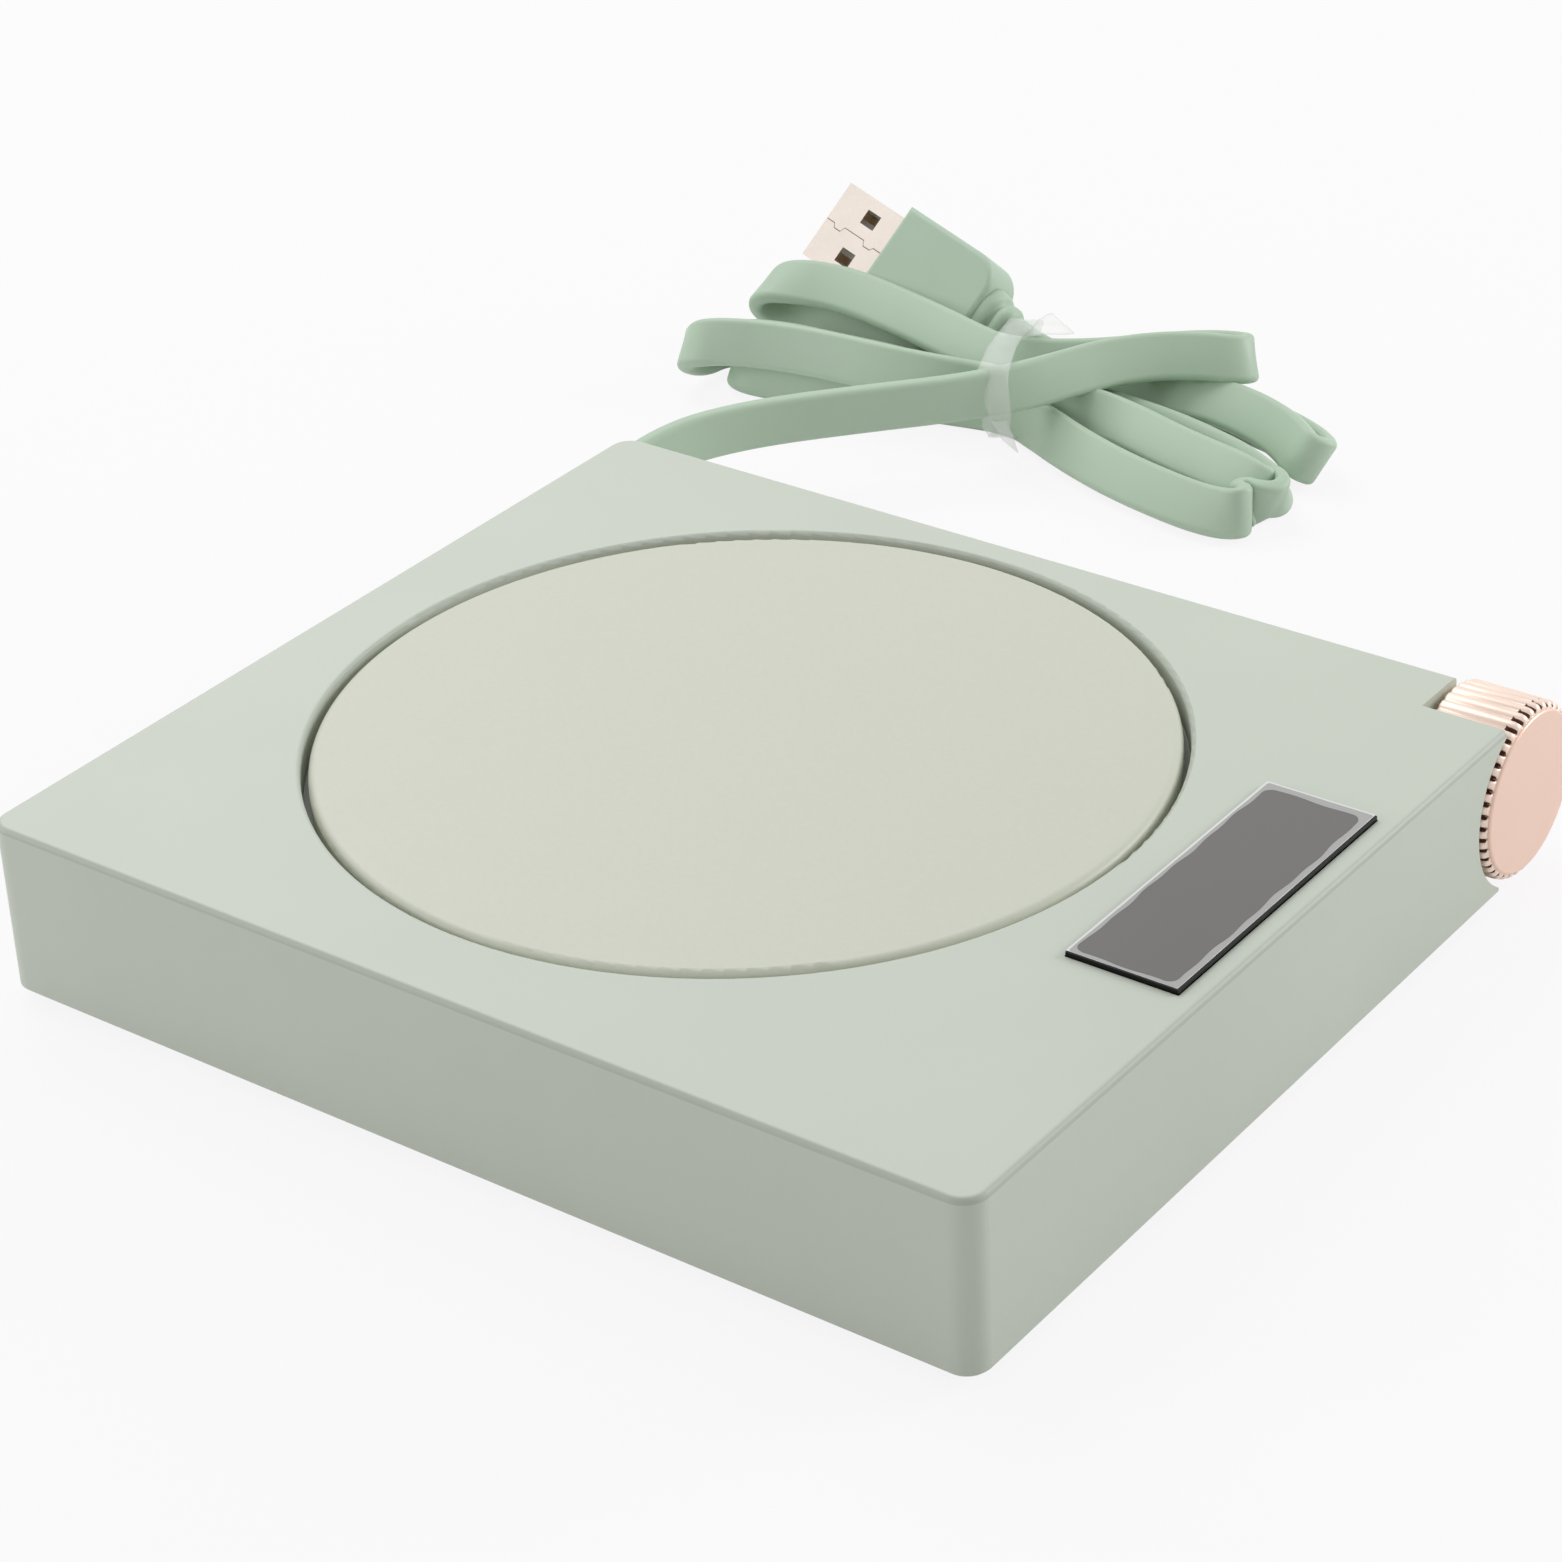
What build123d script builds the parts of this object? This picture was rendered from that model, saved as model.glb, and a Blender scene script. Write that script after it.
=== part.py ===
"""Electric mug warmer: a flat square body with a round heating plate, a digital display,
a fluted control knob let into one corner, and a flat USB lead tied up in a hank.

Millimetres, +Z up. The display side faces -Y and the knob stands out of the +X side.
Everything is drawn about the middle of the housing, with the table at z = 0. save() then
moves it so that the origin is the middle of the footprint, knob included.
"""
import os
from math import cos, radians, sin, tan

from build123d import *

# ---------------------------------------------------------------- driving dimensions
# Housing
housing_w = 110.0            # X, side to side
housing_d = 125.5            # Y, front to back
housing_h = 20.5             # Z, moulded height
standing_gap = 1.2           # the feet hold the housing this far off the table
wall = 2.0                   # side walls
roof_t = 2.0                 # top wall
corner_r = 2.8               # upright corners
top_edge_r = 0.7
bottom_edge = 0.4            # chamfer round the bottom

# How far cutting blocks run past what they cut
cut_past = 20.0

# Heating plate and the stack under it
plate_side_land = 3.9        # top face left beside the plate's hole, on the knob's side
plate_back_land = 8.95       # and behind it
window_zone = 20.55          # depth of the strip in front of it, for the display
plate_t = 3.2
plate_edge_r = 1.0
plate_drop = 0.2             # plate face below the housing's top face
plate_gap = 0.8              # ring gap round the plate
well_rim_r = 0.5             # rounded rim of the plate's hole
well_wall = 2.0              # upright wall round the plate
ledge_w = 3.5                # the ledge under the plate's rim reaches this far in
ledge_t = 1.8
gasket_t = 0.5
film_t = 0.3
pad_t = 2.0
retainer_t = 0.8
retainer_w = 15.0            # the retaining ring reaches this far inside the well's wall
retainer_rim = 1.5           # and this far outside it
ear_count = 4
ear_reach = 4.5              # ear screw centres, outside the well's inner wall
ear_r = 3.2
film_hole_r = 3.0
stack_fit = 0.5              # pad and film inside the ledge
thermistor_x = -12.0         # from the plate's middle
thermistor_w = 4.6
thermistor_d = 3.0
cutout_x = 12.0              # from the plate's middle
cutout_w = 11.5
cutout_d = 6.6
cutout_drop = 1.0            # it stands this far below the pad
pocket_gap = 0.2             # round both sensors
wire_hole_y = -22.0          # opening in the pad for the heater's wires, from the plate's middle
wire_hole_w = 7.0
wire_hole_d = 3.0

# Display window
window_x = 4.1
window_back = 9.05           # its middle, behind the front face
window_w = 39.0
window_d = 13.0
window_proud = 0.5
window_seat = 0.8            # depth of the pocket that it is stuck in
window_fit = 0.1             # clearance round it
window_land = 1.8            # width of the pocket's floor round the opening

# Knob, its recess and its encoder
knob_inside = 2.2            # its axis, parallel to Y, inside the side face
knob_r = 10.2                # over the flute crests
knob_cap_r = 9.75
knob_cap_t = 1.2
cap_proud = 0.5              # the cap stands this far in front of the housing
cap_edge = 0.15              # chamfer round the cap's face
flute_count = 46
flute_r = 0.66               # radius of each rounded flute
sleeve_t = 1.8               # sleeve wall under the flutes
web_t = 1.2                  # back wall of the sleeve
recess_depth = 10.25         # from the front face to the recess's back wall
recess_gap = 0.75            # round the knob
back_gap = 1.1               # behind the knob, for its press travel
slot_reach = 5.6             # the open side of the recess starts this far left of the axis
encoder_r = 3.9
encoder_l = 4.5
encoder_edge = 0.4
shaft_r = 1.5
encoder_floor = 0.5          # closed back end of the encoder's bore
running_gap = 0.05           # shaft and plunger in the encoder
boss_r = 2.9                 # the cap's socket for the shaft
boss_gap = 0.9               # from the pressed socket to the encoder
spigot_l = 1.0               # the cap's rim inside the sleeve
spigot_w = 1.2
shaft_flat = 0.5             # height cut off the shaft inside the socket
press_travel = 0.6
plunger_l = 0.8
pin_r = 0.4                  # encoder solder pins
pin_pitch = 2.4
pin_count = 3
encoder_board_w = 9.0
encoder_board_h = 13.0
encoder_board_t = 1.0

# Circuit board and display module
board_x = -5.0
board_back = 13.4            # its middle, behind the front face
board_w = 82.0
board_d = 21.7
board_t = 1.2
board_drop = 8.1             # the board's top face below the roof
board_screw_dx = 38.0
board_screw_dy = 7.85
board_boss_r = 2.4
display_w = 34.0
display_d = 9.0
digit_pitch = 10.5
digit_side = 7.0
digit_sunk = 0.4
# Places on the board are from its middle: first the x, y, width, depth and height of the
# controller, the heater's transistor and the inductor.
chips = [(-21, -0.65, 7, 7, 1.4), (-31.5, 0.35, 6.6, 6.1, 2.3), (-8, 6.35, 4, 4, 2)]
capacitor_x = 35.2
capacitor_y = -1.65
capacitor_r = 2.5
capacitor_h = 5.0
socket_w = 7.0
socket_d = 5.0
socket_h = 3.2
lead_socket = (29.0, 6.85)
heater_socket = (-7.0, 6.85)
encoder_socket = (36.0, -0.65)

# Small screws, for the board and the retaining ring
small_screw_r = 0.9
small_head_r = 1.8
small_head_t = 0.9
board_screw_l = 5.5
ear_screw_l = 3.6
hole_roof = 0.6              # what a blind screw hole leaves of the roof's underside
cross_l = 1.2                # cross recess, in head radii
cross_w = 0.3

# Bottom cover, screws and feet
cover_t = 2.0
cover_fit = 0.15
cover_screw_side = 7.5       # screw centres inside the side faces
cover_screw_front = 29.75    # behind the front face
cover_screw_back = 8.75      # and in front of the back face
cover_boss_r = 3.2
cover_screw_r = 1.25
screw_clearance = 0.25
head_r = 2.3
head_t = 1.0
head_sunk = 1.2
cover_screw_l = 10.0
foot_side = 17.0             # foot centres inside the side faces
foot_end = 18.75             # and inside the front and back faces
foot_r = 6.0
foot_seat = 0.8
foot_edge = 0.5

# Flat lead, its gland, hank, tie and plug
cord_w = 6.5                 # on edge, so this is upright
cord_t = 2.2
cord_edge = 0.7              # what its jacket's round takes off each corner
cord_x = 28.0                # where it leaves the back wall
cord_z = 10.5
gland_w = 5.2
gland_h = 9.5
gland_flange = 1.5
flange_t = 1.5
jacket_in = 1.25             # the lead's jacket ends this far inside the back wall
boot_l = 5.0                 # strain relief outside the wall
boot_tip_w = 3.4
boot_tip_h = 7.7
lead_route = [(36.0, 81.5), (54.0, 80.0), (71.0, 71.2), (86.0, 66.0), (96.0, 57.3), (102.4, 51.2),
              (108.2, 46.1)]
lead_first_turn = 73.0       # y of the first bend behind the housing
wire_r = 0.7
wire_pitch = 1.6
wire_straight = 4.0          # straight run at each end of a wire
wire_sides = 6               # a wire's section has this many sides
wire_over_cover = 3.2        # the lead's cores run this far over the cover
wire_dip_back = 32.75        # where they reach that level, in front of the back face
heater_wire_drop = 6.5       # the heater's wires come straight down this far
heater_wire_side = 5.0       # and swing this far aside before their socket
thin_wire_r = 0.45
thin_wire_pitch = 1.05
thin_wire_count = 3

tie_x = 119.7                # middle of the tied waist
tie_y = 48.3
tie_turn = 22.3              # degrees that the waist is turned from the X axis
tie_t = 0.4
tie_w = 4.5
waist_w = 21.0
waist_h = 13.2
waist_l = 13.0
waist_r = 2.6
# Outlines of the hank's loops in plan, each with its lowest and highest level.
left_low_loops = [(109, 50), (109.5, 62), (108.4, 74), (107.8, 87), (108.4, 94), (113, 97),
                  (122, 97), (128, 95.2), (130, 90), (127.4, 84), (125.2, 78), (123, 67),
                  (124, 54)]
left_high_loops = [(109, 50), (107.5, 64), (106, 77), (103.6, 88), (105, 95), (112, 96),
                   (123.5, 95), (126, 89), (124.6, 82.5), (121.5, 76), (120.5, 66), (121, 54)]
right_low_loops = [(112, 46), (109.5, 31), (105.5, 20), (103.8, 9), (107, 2.6), (118, 1.8),
                   (127, 3.6), (133, 9), (135.6, 17), (135.8, 25), (133.6, 35), (129, 48)]
right_high_loops = [(112, 44), (119, 38), (127, 33), (131.5, 27), (132.6, 20.5), (138, 21.5),
                    (139, 28), (134.5, 36.5), (129, 47)]
low_loop_top = 6.6
left_loop_top = 13.4
right_loop_top = 13.75
loop_corner_r = 2.0

# The plug's tip, its long axis towards the cord and its upper face's direction
plug_tip = (136.1, 89.2, 14.5)
plug_towards_cord = (-0.206, -0.958, -0.200)
plug_face_looks = (-0.756, 0.026, 0.654)
shell_w = 12.0
shell_h = 4.5
shell_l = 11.75              # in view
shell_t = 0.35
shell_in_mould = 4.0
latch_w = 2.2                # the two openings in each wide face
latch_l = 2.6
latch_from_tip = 5.2
latch_spacing = 6.3
tongue_w = 11.0
tongue_h = 1.9
tongue_back = 0.6            # behind the shell's mouth
contact_back = 1.4
contact_w = 1.1
contact_l = 8.0
contact_t = 0.2
contact_count = 4
contact_pitch = 2.25
mould_w = 15.7
mould_h = 7.5
mould_l = 18.7
mould_corner_r = 4.5
mould_edge_r = 0.8
# Width, height and length of each step of the plug's strain relief
relief_steps = [(9.5, 6.0, 2.2), (7.6, 4.4, 1.2), (8.6, 5.4, 1.6)]

# ---------------------------------------------------------------- derived places
base_z = standing_gap
top_z = base_z + housing_h
roof_z = top_z - roof_t                      # underside of the roof
front_y = -housing_d / 2
back_y = housing_d / 2
side_x = housing_w / 2
cover_top = base_z + cover_t

# The plate's hole is as wide as the top face's lands leave it.
well_r = min((housing_d - window_zone - plate_back_land) / 2, side_x - plate_side_land)
plate_r = well_r - plate_gap
plate_x = side_x - plate_side_land - well_r
plate_y = back_y - plate_back_land - well_r
plate_top = top_z - plate_drop
plate_z = plate_top - plate_t                # underside of the plate
ledge_top = plate_z - gasket_t
ledge_z = ledge_top - ledge_t
ledge_r = well_r - ledge_w
film_z = plate_z - film_t
pad_z = film_z - pad_t
retainer_z = ledge_z - retainer_t
ear_at = well_r + ear_reach

window_y = front_y + window_back
knob_x = side_x - knob_inside
knob_z = base_z + housing_h / 2
recess_r = knob_r + recess_gap
recess_y = front_y + recess_depth            # face of the recess's back wall
slot_x = knob_x - slot_reach
sleeve_back = recess_y - back_gap
cap_front = front_y - cap_proud
cap_back = cap_front + knob_cap_t
encoder_front = recess_y - encoder_l
socket_end = encoder_front - press_travel - boss_gap
pin_x = knob_x - encoder_r / 2
pin_levels = [knob_z + pin_pitch * (i - (pin_count - 1) / 2) for i in range(pin_count)]
encoder_board_y = recess_y + wall            # face of the encoder's board against the wall
plunger_back = recess_y - encoder_floor - press_travel - 0.1

board_y = front_y + board_back
board_top = roof_z - board_drop
board_z = board_top - board_t
wire_level = board_z - socket_h / 2          # where wires enter the sockets
gland_in = back_y - wall
jacket_end = back_y - jacket_in

knob_reach = knob_x + knob_r - side_x        # how far the knob stands out of the side
footprint_x = knob_reach / 2
footprint_y = -cap_proud / 2

plug_plane = Plane(origin=plug_tip, x_dir=plug_towards_cord, z_dir=plug_face_looks)

corner_directions = [(sx, sy) for sx in (-1, 1) for sy in (-1, 1)]
ear_angles = [45 + 360 / ear_count * i for i in range(ear_count)]
ear_places = [(plate_x + ear_at * cos(radians(a)), plate_y + ear_at * sin(radians(a)))
              for a in ear_angles]
board_screw_places = [(board_x + sx * board_screw_dx, board_y + sy * board_screw_dy)
                      for sx, sy in corner_directions]
cover_screw_places = [(sx * (side_x - cover_screw_side), y) for sx in (-1, 1)
                      for y in (front_y + cover_screw_front, back_y - cover_screw_back)]
foot_places = [(sx * (side_x - foot_side), sy * (back_y - foot_end))
               for sx, sy in corner_directions]


# ---------------------------------------------------------------- small helpers
def upright(x, y, radius, low, high):
    """A cylinder that stands along Z."""
    return Pos(x, y, (low + high) / 2) * Cylinder(radius, high - low)


def along_y(x, z, radius, front, back):
    """A cylinder that lies along Y."""
    return Pos(x, (front + back) / 2, z) * Rot(90, 0, 0) * Cylinder(radius, back - front)


def block(x, y, w, d, low, high):
    """A plain block, centred in plan."""
    return Pos(x, y, (low + high) / 2) * Box(w, d, high - low)


def slab(w, d, radius, low, high):
    """A block with rounded upright corners, about the middle of the housing."""
    return Pos(0, 0, low) * extrude(RectangleRounded(w, d, radius), high - low)


def ring(x, y, outer_r, inner_r, low, high):
    return upright(x, y, outer_r, low, high) - upright(x, y, inner_r, low - 1, high + 1)


def screw(x, y, seat, head_radius, head_thickness, shank_radius, length):
    """A pan-head screw driven upwards, its head below the seat, with a cross recess."""
    head = upright(x, y, head_radius, seat - head_thickness, seat)
    head = chamfer(head.edges().group_by(Axis.Z)[0], head_thickness * 0.35)
    for w, d in ((cross_l, cross_w), (cross_w, cross_l)):
        head -= block(x, y, w * head_radius, d * head_radius, seat - head_thickness - 1,
                      seat - head_thickness / 2)
    return head + upright(x, y, shank_radius, seat, seat + length)


def knob_recess(margin):
    """The space round the knob, grown by margin: a round bore that is open to the side."""
    front = front_y - cut_past
    back = recess_y + margin
    bore = along_y(knob_x, knob_z, recess_r + margin, front, back)
    slot_w = side_x + cut_past - slot_x
    slot = block(slot_x - margin + slot_w / 2, (front + back) / 2, slot_w, back - front,
                 base_z - cut_past, top_z + cut_past)
    return bore + slot


# ---------------------------------------------------------------- housing
def top_housing():
    body = slab(housing_w, housing_d, corner_r, base_z, top_z)
    body = fillet(body.edges().group_by(Axis.Z)[-1], top_edge_r)
    body = chamfer(body.edges().group_by(Axis.Z)[0], bottom_edge)
    hollow = slab(housing_w - 2 * wall, housing_d - 2 * wall, corner_r - wall / 2,
                  base_z - 1, roof_z)
    body -= hollow - knob_recess(wall)
    body -= knob_recess(0)
    # Round wall and ledge that carry the heating plate.
    body += upright(plate_x, plate_y, well_r + well_wall, ledge_z, roof_z)
    body -= upright(plate_x, plate_y, well_r, ledge_top, top_z + 1)
    body -= upright(plate_x, plate_y, ledge_r, ledge_z - 1, top_z)
    rim = body.edges().filter_by(GeomType.CIRCLE).group_by(Axis.Z)[-1]
    body = fillet(rim.filter_by(lambda e: abs(e.radius - well_r) < 0.01), well_rim_r)
    # Pocket and opening for the display window.
    body -= block(window_x, window_y, window_w + 2 * window_fit, window_d + 2 * window_fit,
                  top_z - window_seat, top_z + 1)
    body -= block(window_x, window_y, window_w - 2 * window_land, window_d - 2 * window_land,
                  roof_z - 1, top_z)
    # Screw bosses that hang from the roof, with their blind holes.
    for x, y in ear_places:
        body += upright(x, y, ear_r, ledge_z, roof_z)
        body -= upright(x, y, small_screw_r, ledge_z - 1, roof_z - hole_roof)
    for x, y in board_screw_places:
        body += upright(x, y, board_boss_r, board_top, roof_z)
        body -= upright(x, y, small_screw_r, board_top - 1, roof_z - hole_roof)
    for x, y in cover_screw_places:
        body += upright(x, y, cover_boss_r, cover_top, roof_z)
        body -= upright(x, y, cover_screw_r, cover_top - 1, cover_top + cover_screw_l)
    # Slot for the gland and holes for the encoder's pins.
    body -= Pos(cord_x, gland_in + wall / 2, cord_z) * Box(gland_w, wall + 2, gland_h)
    for z in pin_levels:
        body -= along_y(pin_x, z, pin_r, recess_y - 1, encoder_board_y + 1)
    return body


def bottom_cover():
    cover = slab(housing_w - 2 * (wall + cover_fit), housing_d - 2 * (wall + cover_fit),
                 corner_r - wall / 2, base_z, cover_top)
    cover -= knob_recess(wall + cover_fit)
    for x, y in cover_screw_places:
        cover -= upright(x, y, cover_screw_r + screw_clearance, base_z - 1, cover_top + 1)
        cover -= upright(x, y, head_r + screw_clearance, base_z - 1, base_z + head_sunk)
    for x, y in foot_places:
        cover -= upright(x, y, foot_r + cover_fit, base_z - 1, base_z + foot_seat)
    return cover


def rubber_feet():
    feet = []
    for x, y in foot_places:
        foot = upright(x, y, foot_r, 0, base_z + foot_seat)
        feet.append(chamfer(foot.edges().group_by(Axis.Z)[0], foot_edge))
    return Compound(feet)


def cover_screws():
    return Compound([screw(x, y, base_z + head_sunk, head_r, head_t, cover_screw_r, cover_screw_l)
                     for x, y in cover_screw_places])


# ---------------------------------------------------------------- heating plate stack
def warming_plate():
    plate = upright(plate_x, plate_y, plate_r, plate_z, plate_top)
    return fillet(plate.edges().group_by(Axis.Z)[-1], plate_edge_r)


def plate_gasket():
    return ring(plate_x, plate_y, well_r - 0.2, ledge_r, ledge_top, plate_z)


def heating_film():
    return ring(plate_x, plate_y, ledge_r - stack_fit, film_hole_r, film_z, plate_z)


def thermistor_space(gap, low, high):
    return block(plate_x + thermistor_x, plate_y, thermistor_w + 2 * gap, thermistor_d + 2 * gap,
                 low, high)


def cutout_space(gap, low, high):
    return block(plate_x + cutout_x, plate_y, cutout_w + 2 * gap, cutout_d + 2 * gap, low, high)


def insulation_pad():
    pad = upright(plate_x, plate_y, ledge_r - stack_fit, pad_z, film_z)
    pad -= thermistor_space(pocket_gap, pad_z - 1, film_z + 1)
    pad -= cutout_space(pocket_gap, pad_z - 1, film_z + 1)
    return pad - block(plate_x, plate_y + wire_hole_y, wire_hole_w, wire_hole_d, pad_z - 1,
                       film_z + 1)


def thermistor():
    bead = thermistor_space(0, pad_z, film_z)
    return fillet(bead.edges().filter_by(Axis.Z), thermistor_d * 0.4)


def thermal_cutout():
    case = cutout_space(0, pad_z - cutout_drop, film_z)
    return fillet(case.edges().filter_by(Axis.Z), cutout_d * 0.12)


def heater_retainer():
    """The ring that holds the stack up against the plate, with an ear for each screw."""
    plate = upright(plate_x, plate_y, well_r + retainer_rim, retainer_z, ledge_z)
    for x, y in ear_places:
        plate += upright(x, y, ear_r, retainer_z, ledge_z)
        plate -= upright(x, y, small_screw_r + screw_clearance, retainer_z - 1, ledge_z + 1)
    return plate - upright(plate_x, plate_y, well_r - retainer_w, retainer_z - 1, ledge_z + 1)


def retainer_screws():
    return Compound([screw(x, y, retainer_z, small_head_r, small_head_t, small_screw_r, ear_screw_l)
                     for x, y in ear_places])


# ---------------------------------------------------------------- display and circuit board
def display_window():
    return block(window_x, window_y, window_w, window_d, top_z - window_seat,
                 top_z + window_proud)


def display_module():
    case = block(window_x, window_y, display_w, display_d, board_top, roof_z)
    for i in (-1, 0, 1):
        case -= block(window_x + i * digit_pitch, window_y, digit_side, digit_side,
                      roof_z - digit_sunk, roof_z + 1)
    return case


def control_board():
    board = block(board_x, board_y, board_w, board_d, board_z, board_top)
    for x, y in board_screw_places:
        board -= upright(x, y, small_screw_r + screw_clearance, board_z - 1, board_top + 1)
    return board


def board_chips():
    parts = [block(board_x + x, board_y + y, w, d, board_top, board_top + h)
             for x, y, w, d, h in chips]
    parts.append(upright(board_x + capacitor_x, board_y + capacitor_y, capacitor_r, board_top,
                         board_top + capacitor_h))
    return Compound(parts)


def wire_sockets():
    return Compound([block(board_x + x, board_y + y, socket_w, socket_d, board_z - socket_h,
                           board_z)
                     for x, y in (lead_socket, heater_socket, encoder_socket)])


def board_screws():
    return Compound([screw(x, y, board_z, small_head_r, small_head_t, small_screw_r, board_screw_l)
                     for x, y in board_screw_places])


# ---------------------------------------------------------------- knob and encoder
def encoder_body():
    case = along_y(knob_x, knob_z, encoder_r, encoder_front, recess_y)
    case = chamfer(case.edges().group_by(Axis.Y)[0], encoder_edge)
    case -= along_y(knob_x, knob_z, shaft_r + running_gap, encoder_front - 1,
                    recess_y - encoder_floor)
    for z in pin_levels:
        case += along_y(pin_x, z, pin_r, recess_y - encoder_floor / 2,
                        encoder_board_y + encoder_board_t)
    return case


def encoder_board():
    right = side_x - wall - cover_fit
    board = block(right - encoder_board_w / 2, encoder_board_y + encoder_board_t / 2,
                  encoder_board_w, encoder_board_t, knob_z - encoder_board_h / 2,
                  knob_z + encoder_board_h / 2)
    for z in pin_levels:
        board -= along_y(pin_x, z, pin_r, recess_y, encoder_board_y + encoder_board_t + 1)
    return board


def switch_plunger():
    return along_y(knob_x, knob_z, shaft_r, plunger_back - plunger_l, plunger_back)


def encoder_shaft():
    shaft = along_y(knob_x, knob_z, shaft_r, cap_back, plunger_back - plunger_l - running_gap)
    flat = Pos(knob_x, (cap_back + socket_end) / 2, knob_z + shaft_r - shaft_flat / 2)
    return shaft - flat * Box(3 * shaft_r, socket_end - cap_back, shaft_flat)


def knob_sleeve():
    """Rounded flutes round a hollow sleeve, with a web that closes its back end."""
    crest_at = knob_r - flute_r
    section = Circle(crest_at)
    flutes = PolarLocations(crest_at, flute_count) * Circle(flute_r)
    section = Sketch() + section + [f for f in flutes]
    length = sleeve_back - cap_back
    body = Pos(knob_x, sleeve_back, knob_z) * Rot(90, 0, 0) * extrude(section, length)
    body -= along_y(knob_x, knob_z, knob_r - flute_r - sleeve_t, cap_back - 1,
                    sleeve_back - web_t)
    return body - along_y(knob_x, knob_z, encoder_r + 0.4, cap_back, sleeve_back + 1)


def knob_cap():
    """Flat end disc with a spigot in the sleeve and a socket on the shaft."""
    disc = along_y(knob_x, knob_z, knob_cap_r, cap_front, cap_back)
    disc = chamfer(disc.edges().group_by(Axis.Y)[0], cap_edge)
    bore_r = knob_r - flute_r - sleeve_t
    disc += along_y(knob_x, knob_z, bore_r, cap_back, cap_back + spigot_l)
    disc -= along_y(knob_x, knob_z, bore_r - spigot_w, cap_back, cap_back + spigot_l + 1)
    disc += along_y(knob_x, knob_z, boss_r, cap_back, socket_end)
    return disc - encoder_shaft()


# ---------------------------------------------------------------- lead, hank, tie and plug
def cord_section(plane):
    """The lead's flat section, its corners cut for the round of the jacket."""
    section = Rectangle(cord_w, cord_t)
    return plane * chamfer(section.vertices(), cord_edge)


def lead_points():
    return [(cord_x, jacket_end), (cord_x, lead_first_turn)] + lead_route


def bend_radii(points):
    """The largest arcs that the runs allow: 0.45 of the shorter run at each corner."""
    radii = []
    for before, here, after in zip(points, points[1:], points[2:]):
        run_in = Vector(*here) - Vector(*before)
        run_out = Vector(*after) - Vector(*here)
        turn = radians(run_in.get_angle(run_out))
        radii.append(0.45 * min(run_in.length, run_out.length) / tan(turn / 2))
    return radii


def cord_lead():
    points = [(x, y, cord_z) for x, y in lead_points()]
    radii = bend_radii(points)
    print("lead bend radii, mm:", [round(r, 1) for r in radii])
    path = FilletPolyline(*points, radius=radii)
    start = Plane(origin=path @ 0, x_dir=(0, 0, 1), z_dir=path % 0)
    section = cord_section(start)
    lead = sweep(section, path=path)
    print("lead length", round(path.length, 1), "volume", round(lead.volume, 1),
          "section x length", round(section.area * path.length, 1))
    return lead


def cable_gland():
    middle = gland_in + wall / 2
    flange = Pos(cord_x, gland_in - flange_t / 2, cord_z) * Box(
        gland_w + 2 * gland_flange, flange_t, gland_h + 2 * gland_flange)
    neck = Pos(cord_x, middle, cord_z) * Box(gland_w, wall, gland_h)
    root = Plane(origin=(cord_x, back_y, cord_z), x_dir=(1, 0, 0), z_dir=(0, 1, 0))
    tip = root.offset(boot_l)
    boot = loft([root * RectangleRounded(gland_w + 1, gland_h + 1, 1.4),
                 tip * RectangleRounded(boot_tip_w, boot_tip_h, 1.4)])
    gland = flange + neck + boot
    bore = Plane(origin=(cord_x, gland_in - flange_t - 1, cord_z), x_dir=(0, 0, 1),
                 z_dir=(0, 1, 0))
    return gland - extrude(cord_section(bore), flange_t + wall + boot_l + 2)


def loops(outline, low, high):
    """One bunch of the hank's loops: its outline in plan, from low to high."""
    flat = Polyline(*outline, close=True)
    face = make_face(flat)
    face = fillet(face.vertices(), loop_corner_r)
    return Pos(0, 0, low) * extrude(face, high - low)


def waist_plane(along):
    """Upright plane across the tied waist, moved along the hank from its middle."""
    turn = radians(tie_turn)
    origin = (tie_x - along * sin(turn), tie_y + along * cos(turn), tie_t + waist_h / 2)
    return Plane(origin=origin, x_dir=(cos(turn), sin(turn), 0), z_dir=(-sin(turn), cos(turn), 0))


def cord_hank():
    hank = extrude(waist_plane(-waist_l / 2) * RectangleRounded(waist_w, waist_h, waist_r), waist_l)
    hank += loops(left_low_loops, 0, low_loop_top)
    hank += loops(left_high_loops, low_loop_top, left_loop_top)
    hank += loops(right_low_loops, 0, low_loop_top)
    hank += loops(right_high_loops, low_loop_top, right_loop_top)
    return hank - tie_band(waist_w + 2 * cut_past, waist_h + 2 * cut_past)


def tie_band(outer_w, outer_h):
    """The space outside the waist over the tie's width."""
    plane = waist_plane(-tie_w / 2)
    outer = extrude(plane * RectangleRounded(outer_w, outer_h, waist_r + tie_t), tie_w)
    return outer - extrude(plane * RectangleRounded(waist_w, waist_h, waist_r), tie_w)


def cord_tie():
    return tie_band(waist_w + 2 * tie_t, waist_h + 2 * tie_t)


def on_plug(x, y, z, length, width, height):
    """A block in the plug's own plane: x from the tip to the cord, y across, z up."""
    return plug_plane * (Pos(x + length / 2, y, z) * Box(length, width, height))


def plug_shell():
    length = shell_l + shell_in_mould
    shell = on_plug(0, 0, 0, length, shell_w, shell_h)
    shell -= on_plug(-1, 0, 0, length + 2, shell_w - 2 * shell_t, shell_h - 2 * shell_t)
    for side in (-1, 1):
        y = side * latch_spacing / 2
        shell -= on_plug(latch_from_tip, y, 0, latch_l, latch_w, shell_h + 2)
    return shell


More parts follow.
